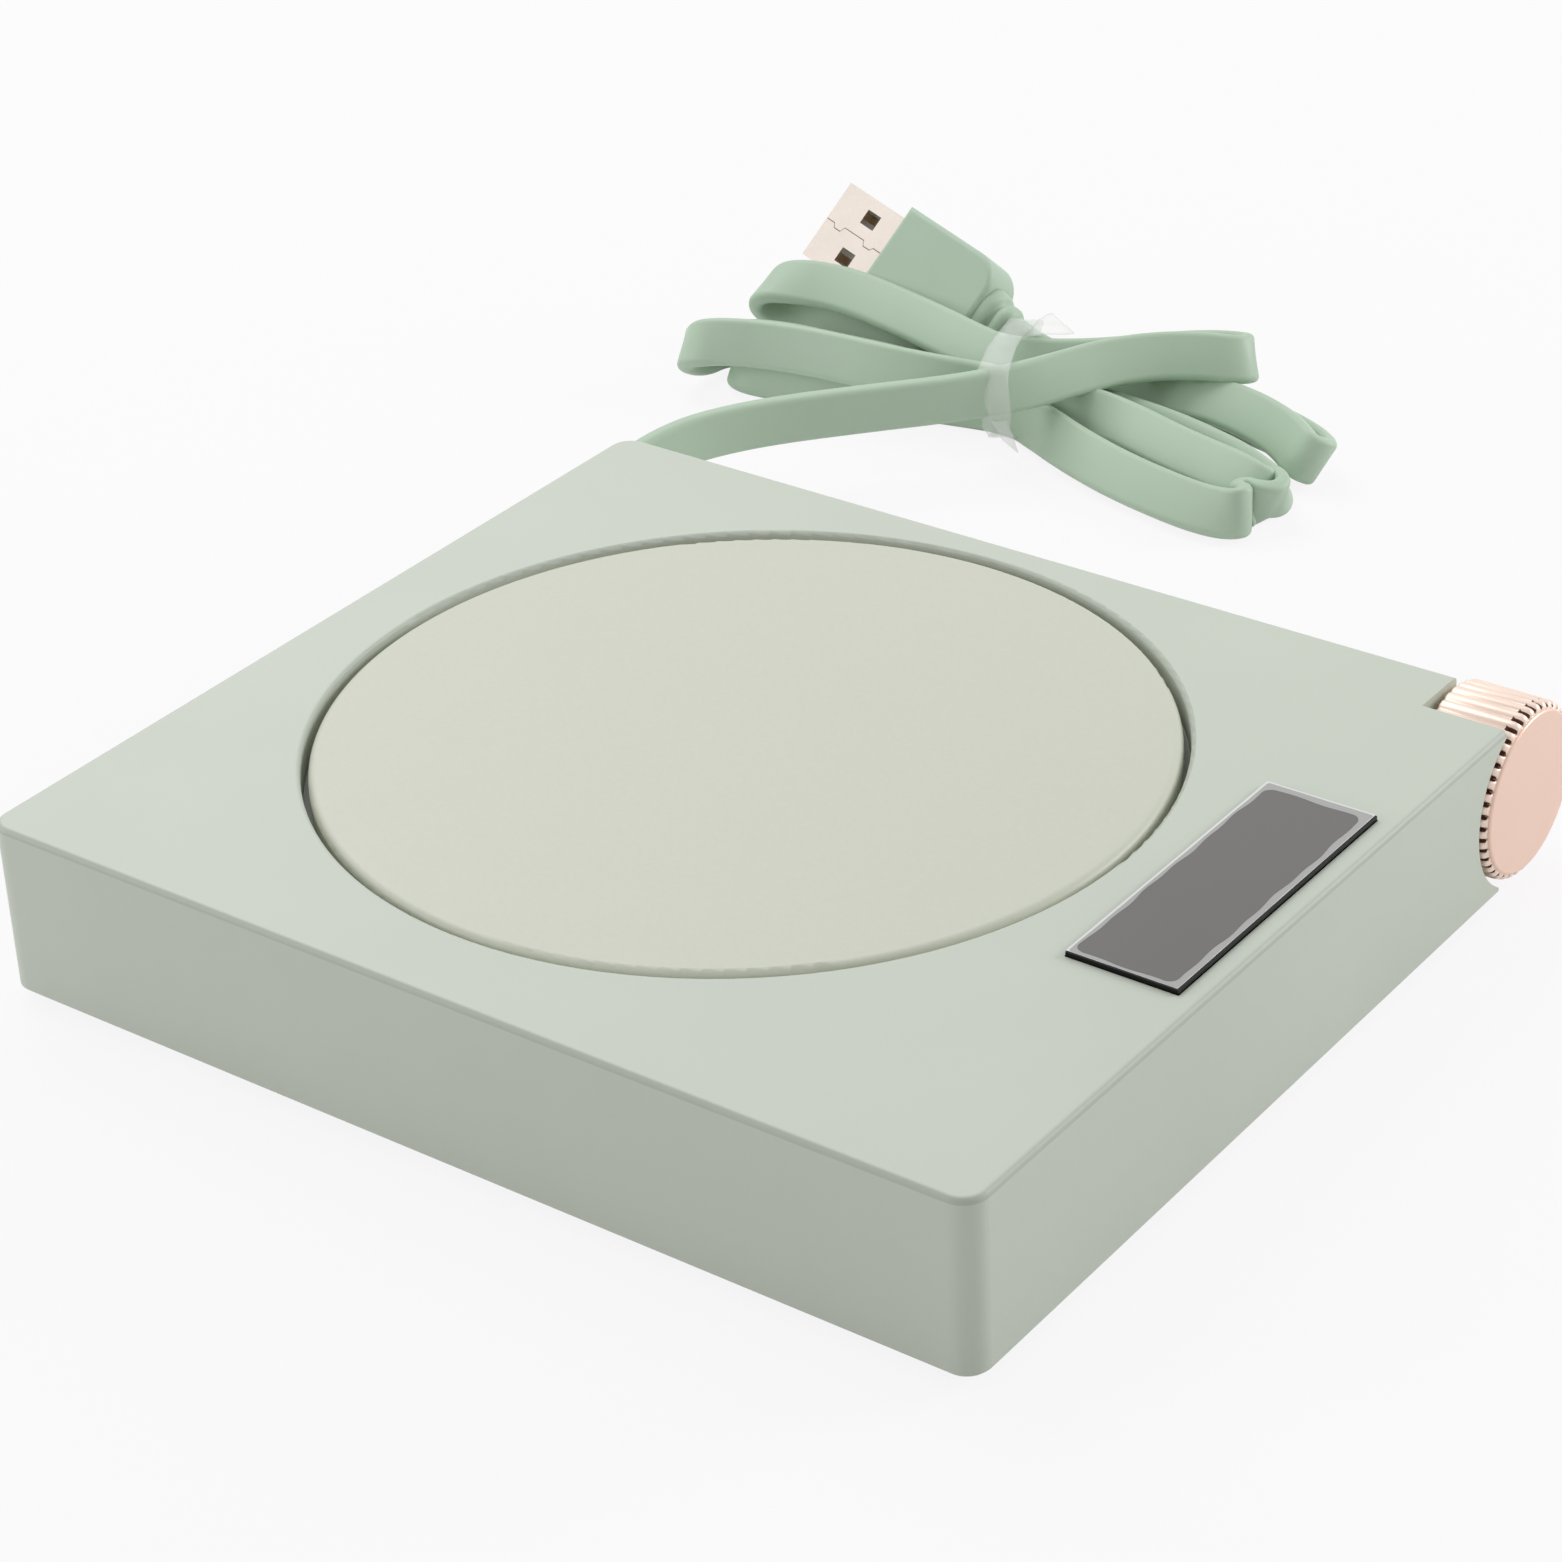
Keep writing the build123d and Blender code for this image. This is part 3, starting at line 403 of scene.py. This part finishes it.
def felt():
    material, nodes, links, shader = new_material("glass felt")
    fibres = noise(nodes, links, 900, detail=12.0)
    vary_colour(nodes, links, shader, fibres, (0.80, 0.79, 0.72), 0.12)
    add_bump(nodes, links, shader, fibres, 0.0003)
    shader.inputs["Roughness"].default_value = 0.95
    shader.inputs["Sheen Weight"].default_value = 0.4
    return material


def amber_film():
    """Heating film: amber sheet over a wavy etched track."""
    material, nodes, links, shader = new_material("heating film")
    place = nodes.new("ShaderNodeTexCoord")
    waves = nodes.new("ShaderNodeTexWave")
    waves.wave_type = "RINGS"
    waves.rings_direction = "Z"
    waves.inputs["Scale"].default_value = 55
    waves.inputs["Distortion"].default_value = 1.5
    links.new(place.outputs["Object"], waves.inputs["Vector"])
    vary_colour(nodes, links, shader, waves, (0.50, 0.19, 0.04), 0.35)
    shader.inputs["Roughness"].default_value = 0.2
    return material


def solder_mask():
    """Green board with faint tracks under the mask."""
    material, nodes, links, shader = new_material("solder mask")
    place = nodes.new("ShaderNodeTexCoord")
    tracks = nodes.new("ShaderNodeTexBrick")
    tracks.inputs["Scale"].default_value = 120
    tracks.inputs["Color1"].default_value = (0.010, 0.110, 0.040, 1)
    tracks.inputs["Color2"].default_value = (0.008, 0.090, 0.032, 1)
    tracks.inputs["Mortar"].default_value = (0.020, 0.190, 0.070, 1)
    links.new(place.outputs["Object"], tracks.inputs["Vector"])
    links.new(tracks.outputs["Color"], shader.inputs["Base Color"])
    add_bump(nodes, links, shader, tracks, 0.00003)
    shader.inputs["Roughness"].default_value = 0.3
    return material


def tie_film():
    """Thin milky film that lets the lead show through."""
    material, nodes, links, shader = new_material("tie film")
    ripple = noise(nodes, links, 260)
    vary_colour(nodes, links, shader, ripple, (0.92, 0.94, 0.90), 0.04)
    add_bump(nodes, links, shader, ripple, 0.0003)
    shader.inputs["Roughness"].default_value = 0.25
    shader.inputs["Alpha"].default_value = 0.25
    return material


def anodised(name, colour, roughness=0.42):
    """Satin anodised metal: half mirror, half pigment, with a fine even grain."""
    material, nodes, links, shader = new_material(name)
    shader.inputs["Metallic"].default_value = 0.45
    fine = noise(nodes, links, 4200)
    vary_colour(nodes, links, shader, noise(nodes, links, 60), colour, 0.02)
    vary_roughness(nodes, links, shader, fine, roughness - 0.05, roughness + 0.05)
    add_bump(nodes, links, shader, fine, 0.000003)
    return material


FINISHES = {
    "housing_white": housing_satin(),
    "cover_white": moulded("cover matte", (0.550, 0.590, 0.515), 0.6),
    "plate_cream": plate_enamel(),
    "silicone_grey": moulded("silicone", (0.36, 0.37, 0.35), 0.7),
    "foot_rubber": moulded("foot rubber", (0.27, 0.28, 0.27), 0.8, depth=0.00004),
    "film_amber": amber_film(),
    "glass_felt": felt(),
    "screw_steel": metal("zinc plate", (0.58, 0.58, 0.57), 0.35),
    "sheet_aluminium": metal("rolled aluminium", (0.72, 0.73, 0.74), 0.4, stretch=(1, 12, 1)),
    "electronics_black": moulded("black moulding", (0.022, 0.022, 0.023), 0.5),
    "board_green": solder_mask(),
    "nylon_white": moulded("nylon", (0.76, 0.75, 0.70), 0.45),
    "shaft_steel": metal("ground steel", (0.56, 0.56, 0.57), 0.25, stretch=(1, 15, 1)),
    "wire_red": moulded("red insulation", (0.42, 0.02, 0.015), 0.4),
    "wire_white": moulded("white insulation", (0.76, 0.76, 0.74), 0.4),
    "lead_mint": moulded("lead jacket", (0.468, 0.592, 0.456), 0.48, grain=1800, spread=0.015),
    "plug_mint": moulded("plug moulding", (0.460, 0.585, 0.455), 0.5, grain=2200),
    "plug_steel": metal("nickel plate", (0.80, 0.725, 0.655), 0.24, spread=0.02),
    # Gold darkened to a dull brown: painted shade inside the plug's holes.
    "contact_gold": metal("gold flash in painted shade", (0.30, 0.22, 0.13), 0.4),
    "knob_blush": anodised("rose knob", (0.95, 0.76, 0.655)),
    "window_smoke": moulded("black glass", (0.004, 0.004, 0.004), 0.25, depth=0.000002,
                            Specular_IOR_Level=0.2),
    "tie_film": tie_film(),
}
DISC = anodised("rose disc", (0.91, 0.65, 0.53), 0.38)
# Dark brown painted shade for the deep grooves between the knob's beads.
PAINTED_GROOVE_SHADE = moulded("painted groove shade", (0.10, 0.035, 0.022), 0.6)
# A pale sheet whose rim is a painted highlight along the display's far edges.
PAINTED_EDGE_HIGHLIGHT = moulded("painted edge highlight", (0.80, 0.81, 0.78), 0.2, depth=0.000004)
BORDER = moulded("display border", (0.42, 0.42, 0.41), 0.3, depth=0.000003)
SCREEN = moulded("display screen", (0.160, 0.154, 0.148), 0.34, depth=0.0000005, spread=0.03,
                 Specular_IOR_Level=0.35)
SEAM_SHADE = moulded("seam shade", (0.30, 0.22, 0.19), 0.6)


def dress_cad_nodes():
    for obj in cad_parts.values():
        for slot in obj.material_slots:
            slot.material = FINISHES[slot.material.name]


# ---------------------------------------------------------------- the lead's ribbon
def spline_points(name, points):
    """The points of a NURBS curve that has these control points."""
    curve = bpy.data.curves.new(name, "CURVE")
    curve.dimensions = "3D"
    curve.resolution_u = STEPS_PER_POINT
    spline = curve.splines.new("NURBS")
    spline.points.add(len(points) - 1)
    for control, place in zip(spline.points, points):
        control.co = (*place, 1.0)
    spline.order_u = 3
    spline.use_endpoint_u = True
    holder = link(bpy.data.objects.new(name, curve))
    mesh = bpy.data.meshes.new_from_object(holder)
    sampled = [vertex.co.copy() for vertex in mesh.vertices]
    bpy.data.objects.remove(holder)
    return sampled


def lead_ribbon():
    """The flat jacket: one ring of its section at each point read from the route's spline."""
    middle_points = [Vector(p) for _, points in ROUTE for p in points]
    rim_points = [Vector(p) + Vector(lean) * LEAD_WIDTH for lean, points in ROUTE for p in points]
    middle = spline_points("lead route", middle_points)
    rim = spline_points("lead rim", rim_points)
    section = rounded_rectangle(LEAD_THICKNESS, LEAD_WIDTH, LEAD_CORNER)
    stations = []
    for i, place in enumerate(middle):
        ahead = middle[min(i + 1, len(middle) - 1)] - middle[max(i - 1, 0)]
        along = ahead.normalized()
        width = rim[i] - place
        width = (width - along * width.dot(along)).normalized()
        stations.append((place, along.cross(width), width))
    rings = [[place + across * x + width * y for x, y in section]
             for place, across, width in stations]
    ribbon = skin("lead_ribbon", rings)
    ribbon.data.materials.append(FINISHES["lead_mint"])
    return ribbon, middle, stations


def lead_boot(stations):
    """The ribbed, tapered boot that bends with the lead where it leaves the housing."""
    rings = []
    travelled = 0.0
    wanted = list(BOOT)
    for i, (place, across, width) in enumerate(stations):
        if i:
            travelled += (place - stations[i - 1][0]).length / MM
        while wanted and travelled >= wanted[0][0]:
            _, thickness, height = wanted.pop(0)
            outline = rounded_rectangle(thickness * MM, height * MM,
                                        BOOT_ROUND * thickness * MM, steps=6)
            rings.append([place + across * x + width * y for x, y in outline])
    boot = skin("lead_boot", rings)
    finish_piece(boot, "housing", [FINISHES["lead_mint"]])
    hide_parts("cable_gland")
    return boot


# ---------------------------------------------------------------- tie
def tie_place(across, along, up):
    """A point given in mm across the hank, along it and up from the table."""
    x = TIE_MIDDLE[0] + (across * cos(TIE_TURN) - along * sin(TIE_TURN)) * MM
    y = TIE_MIDDLE[1] + (across * sin(TIE_TURN) + along * cos(TIE_TURN)) * MM
    return Vector((x, y, up * MM))


def film_tie():
    """The film wound once round the waist, with its two loose ends."""
    loop = spline_points("tie loop", [tie_place(x, 0, z) for x, z in TIE_LOOP])[:-1]
    away = (tie_place(0, 1, 0) - tie_place(0, 0, 0)) / MM
    vertices = []
    for i, place in enumerate(loop):
        turn = 2 * pi * i / len(loop)
        for j in range(TIE_COLUMNS):
            share = j / (TIE_COLUMNS - 1)
            along = TIE_LEFT + (TIE_RIGHT - TIE_LEFT) * share
            along += 0.22 * sin(3 * turn + 5 * share) + 0.12 * sin(7 * turn)
            lift = 0.10 * sin(9 * turn + 8 * share) + 0.10
            out = (place - tie_place(0, 0, TIE_HEART)).normalized()
            vertex = place + away * along * MM + out * lift * MM
            vertex.z = max(vertex.z, TIE_LOWEST)
            vertices.append(vertex)
    faces = []
    for i in range(len(loop)):
        k = (i + 1) % len(loop)
        for j in range(TIE_COLUMNS - 1):
            faces.append((i * TIE_COLUMNS + j, i * TIE_COLUMNS + j + 1,
                          k * TIE_COLUMNS + j + 1, k * TIE_COLUMNS + j))
    band = mesh_object("tie_band", vertices, faces)
    thicken(band, TIE_THICKNESS)
    top_end = grid_sheet("tie_top_end", [tie_place(*p) for p in TIE_TOP_END], 8, TIE_THICKNESS)
    low_end = grid_sheet("tie_low_end", [tie_place(*p) for p in TIE_LOW_END], 8, TIE_THICKNESS)
    for piece in (band, top_end, low_end):
        finish_piece(piece, "housing", [FINISHES["tie_film"]])
        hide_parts("cord_tie")
    return [band, top_end, low_end]


# ---------------------------------------------------------------- plug
def plug_place(along, across, face):
    return PLUG_TIP + PLUG_ALONG * along + PLUG_ACROSS * across + PLUG_FACE * face


def strain_relief():
    """Two soft collars and a taper onto the flat lead."""
    rings = []
    for along, width, thickness in RELIEF:
        outline = rounded_rectangle(width, thickness, RELIEF_ROUND * thickness, steps=8)
        rings.append([plug_place(along * MM, x * MM, y * MM) for x, y in outline])
    relief = skin("plug_relief", rings)
    finish_piece(relief, "housing", [FINISHES["plug_mint"]])
    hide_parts("plug_strain_relief")
    return relief


def shell_seam():
    """The dark line where the folded shell meets."""
    half = SEAM_HALF_WIDTH
    corners = ((-half, -SEAM_UNDER), (half, -SEAM_UNDER), (half, SEAM_OVER), (-half, SEAM_OVER))
    rings = []
    for along, across in SEAM:
        rings.append([plug_place(along * MM, (across + x) * MM, SHELL_FACE + y * MM)
                      for x, y in corners])
    seam = skin("shell_seam", rings)
    return finish_piece(seam, "housing", [SEAM_SHADE])


# ---------------------------------------------------------------- knob
def groove_depth(angle):
    """0 on a rib's back to 1 in the middle of a groove, which is narrow."""
    return abs(cos(angle * KNOB_RIBS / 2)) ** 5


def knob_ring(y, radius, depth):
    """A ring of ribs: broad round backs with narrow grooves between them."""
    count = KNOB_RIBS * RIB_STEPS
    ring = []
    for i in range(count):
        angle = 2 * pi * i / count
        reach = (radius - depth * groove_depth(angle)) * MM
        ring.append((KNOB_MIDDLE[0] + reach * cos(angle), y * MM,
                     KNOB_MIDDLE[1] + reach * sin(angle)))
    return ring


def knob_grip():
    """The ribbed sleeve, with painted shade in the grooves where they cut the front edge."""
    grip = skin("knob_grip", [knob_ring(*ring) for ring in KNOB_RINGS], hollow=True)
    count = KNOB_RIBS * RIB_STEPS
    for face in grip.data.polygons:
        ring, step = divmod(face.index, count)
        groove = groove_depth(2 * pi * (step + 0.5) / count)
        # Faces deep in a groove take the painted shade material.
        if ring < len(KNOB_RINGS) - 1 and KNOB_RINGS[ring + 1][2] * groove > DEEP_GROOVE:
            face.material_index = 1
    finish_piece(grip, "knob", [FINISHES["knob_blush"], PAINTED_GROOVE_SHADE])
    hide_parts("knob_sleeve")


def knob_disc():
    """The knob's smooth face, with flat ends."""
    rings = []
    for y, radius in DISC_RINGS:
        rings.append([(KNOB_MIDDLE[0] + radius * MM * cos(2 * pi * i / DISC_SIDES), y * MM,
                       KNOB_MIDDLE[1] + radius * MM * sin(2 * pi * i / DISC_SIDES))
                      for i in range(DISC_SIDES)])
    disc = skin("knob_disc", rings)
    for face in list(disc.data.polygons)[-2:]:
        face.use_smooth = False
    finish_piece(disc, "knob", [DISC])
    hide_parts("knob_cap")


# ---------------------------------------------------------------- display
def display_sheet(name, shape, material):
    """A thin sheet on the display glass, with a slightly wavy edge; the pale one's rim is a
    painted highlight, the others are print.
    """
    (left, front, right, back), corner, wave, top = shape
    low = (DISPLAY_LOW[0] + left, DISPLAY_LOW[1] + front)
    high = (DISPLAY_HIGH[0] - right, DISPLAY_HIGH[1] - back)
    width, depth = high[0] - low[0], high[1] - low[1]
    middle = ((low[0] + high[0]) / 2, (low[1] + high[1]) / 2)
    outline = []
    for x, y in evened(rounded_rectangle(width, depth, corner, steps=6)):
        inward = wave * (0.5 + 0.5 * sin(0.75 * x + 0.35 * y) * sin(0.31 * x - 0.6 * y + 1.0))
        outline.append((middle[0] + x * (1 - 2 * inward / width),
                        middle[1] + y * (1 - 2 * inward / depth)))
    rings = [[(x * MM, y * MM, z * MM) for x, y in outline] for z in (DISPLAY_TOP - 0.05, top)]
    sheet = skin(name, rings)
    sheet.data.polygons.foreach_set("use_smooth", [False] * len(sheet.data.polygons))
    return finish_piece(sheet, "housing", [material])


def evened(outline, step=0.8):
    """The outline with more points on its long sides."""
    points = []
    for i, (x, y) in enumerate(outline):
        next_x, next_y = outline[(i + 1) % len(outline)]
        parts = max(1, round(hypot(next_x - x, next_y - y) / step))
        for part in range(parts):
            share = part / parts
            points.append((x + (next_x - x) * share, y + (next_y - y) * share))
    return points


# ---------------------------------------------------------------- camera, light, floor
def add_camera():
    right = Vector((cos(CAMERA_AZIMUTH), sin(CAMERA_AZIMUTH), 0))
    back = Vector((sin(CAMERA_AZIMUTH) * cos(CAMERA_ELEVATION),
                   -cos(CAMERA_AZIMUTH) * cos(CAMERA_ELEVATION), sin(CAMERA_ELEVATION)))
    up = back.cross(right)
    turned_right = right * cos(CAMERA_ROLL) + up * sin(CAMERA_ROLL)
    turned_up = up * cos(CAMERA_ROLL) - right * sin(CAMERA_ROLL)
    data = bpy.data.cameras.new("camera")
    data.lens = CAMERA_LENS
    data.sensor_width = 36.0
    data.clip_start = 0.01
    camera = link(bpy.data.objects.new("camera", data))
    turn = Matrix((turned_right, turned_up, back)).transposed().to_4x4()
    camera.matrix_world = Matrix.Translation(CAMERA_PLACE) @ turn
    bpy.context.scene.camera = camera


def white_to_the_eye(nodes, links):
    """1 for rays that show the background itself: seen, mirrored or through glass."""
    rays = nodes.new("ShaderNodeLightPath")
    first = nodes.new("ShaderNodeMath")
    first.operation = "MAXIMUM"
    links.new(rays.outputs["Is Camera Ray"], first.inputs[0])
    links.new(rays.outputs["Is Glossy Ray"], first.inputs[1])
    both = nodes.new("ShaderNodeMath")
    both.operation = "MAXIMUM"
    links.new(first.outputs[0], both.inputs[0])
    links.new(rays.outputs["Is Transmission Ray"], both.inputs[1])
    return both.outputs[0]


def add_world():
    world = bpy.data.worlds.new("studio")
    bpy.context.scene.world = world
    world.use_nodes = True
    nodes, links = world.node_tree.nodes, world.node_tree.links
    seen = nodes["Background"]
    seen.inputs["Color"].default_value = (0.975, 0.97, 0.975, 1)
    lighting = nodes.new("ShaderNodeBackground")
    lighting.inputs["Color"].default_value = (0.97, 1.0, 1.0, 1)
    lighting.inputs["Strength"].default_value = AMBIENT
    mix = nodes.new("ShaderNodeMixShader")
    links.new(white_to_the_eye(nodes, links), mix.inputs["Fac"])
    links.new(lighting.outputs[0], mix.inputs[1])
    links.new(seen.outputs[0], mix.inputs[2])
    links.new(mix.outputs[0], nodes["World Output"].inputs["Surface"])


def add_floor():
    """A pale table that is nearly white to the eye and still keeps the shadow."""
    half = FLOOR_SIZE / 2
    floor = mesh_object("floor", [(-half, -half, 0), (half, -half, 0), (half, half, 0),
                                  (-half, half, 0)], [(0, 1, 2, 3)])
    floor.location.z = -FLOOR_DROP
    material, nodes, links, shader = new_material("floor")
    vary_colour(nodes, links, shader, noise(nodes, links, 4), (0.80, 0.80, 0.80), 0.004)
    shader.inputs["Roughness"].default_value = 0.9
    shader.inputs["Specular IOR Level"].default_value = 0.1
    glow = nodes.new("ShaderNodeEmission")
    glow.inputs["Color"].default_value = (1.0, 0.99, 1.0, 1)
    share = nodes.new("ShaderNodeMath")
    share.operation = "MULTIPLY"
    share.inputs[1].default_value = FLOOR_GLOW
    links.new(white_to_the_eye(nodes, links), share.inputs[0])
    mix = nodes.new("ShaderNodeMixShader")
    links.new(share.outputs[0], mix.inputs["Fac"])
    links.new(shader.outputs[0], mix.inputs[1])
    links.new(glow.outputs[0], mix.inputs[2])
    links.new(mix.outputs[0], nodes["Material Output"].inputs["Surface"])
    floor.data.materials.append(material)


def add_lamp(name, place, size, power):
    """A round lamp that points at the origin."""
    data = bpy.data.lights.new(name, "AREA")
    data.shape = "DISK"
    data.size = size
    data.energy = power
    lamp = link(bpy.data.objects.new(name, data))
    lamp.location = place
    lamp.rotation_euler = Vector(place).to_track_quat("Z", "Y").to_euler()


def add_light():
    add_world()
    for name, place, size, power in LAMPS:
        add_lamp(name, place, size, power)


# ---------------------------------------------------------------- put it together
bpy.context.scene.view_settings.view_transform = "Standard"
add_camera()
add_light()
add_floor()
dress_cad_nodes()

ribbon, ribbon_path, ribbon_stations = lead_ribbon()
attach(ribbon, "housing")
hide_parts("cord_lead", "cord_hank")
boot = lead_boot(ribbon_stations)
film_pieces = film_tie()
relief = strain_relief()
seam = shell_seam()
knob_grip()
knob_disc()
# Painted highlight: the pale sheet's rim shows past the glass along the far edges.
display_sheet("display_edge_highlight", EDGE_HIGHLIGHT_SHAPE, PAINTED_EDGE_HIGHLIGHT)
display_sheet("display_border", FILM_BORDER, BORDER)
display_sheet("display_screen", FILM_SCREEN, SCREEN)
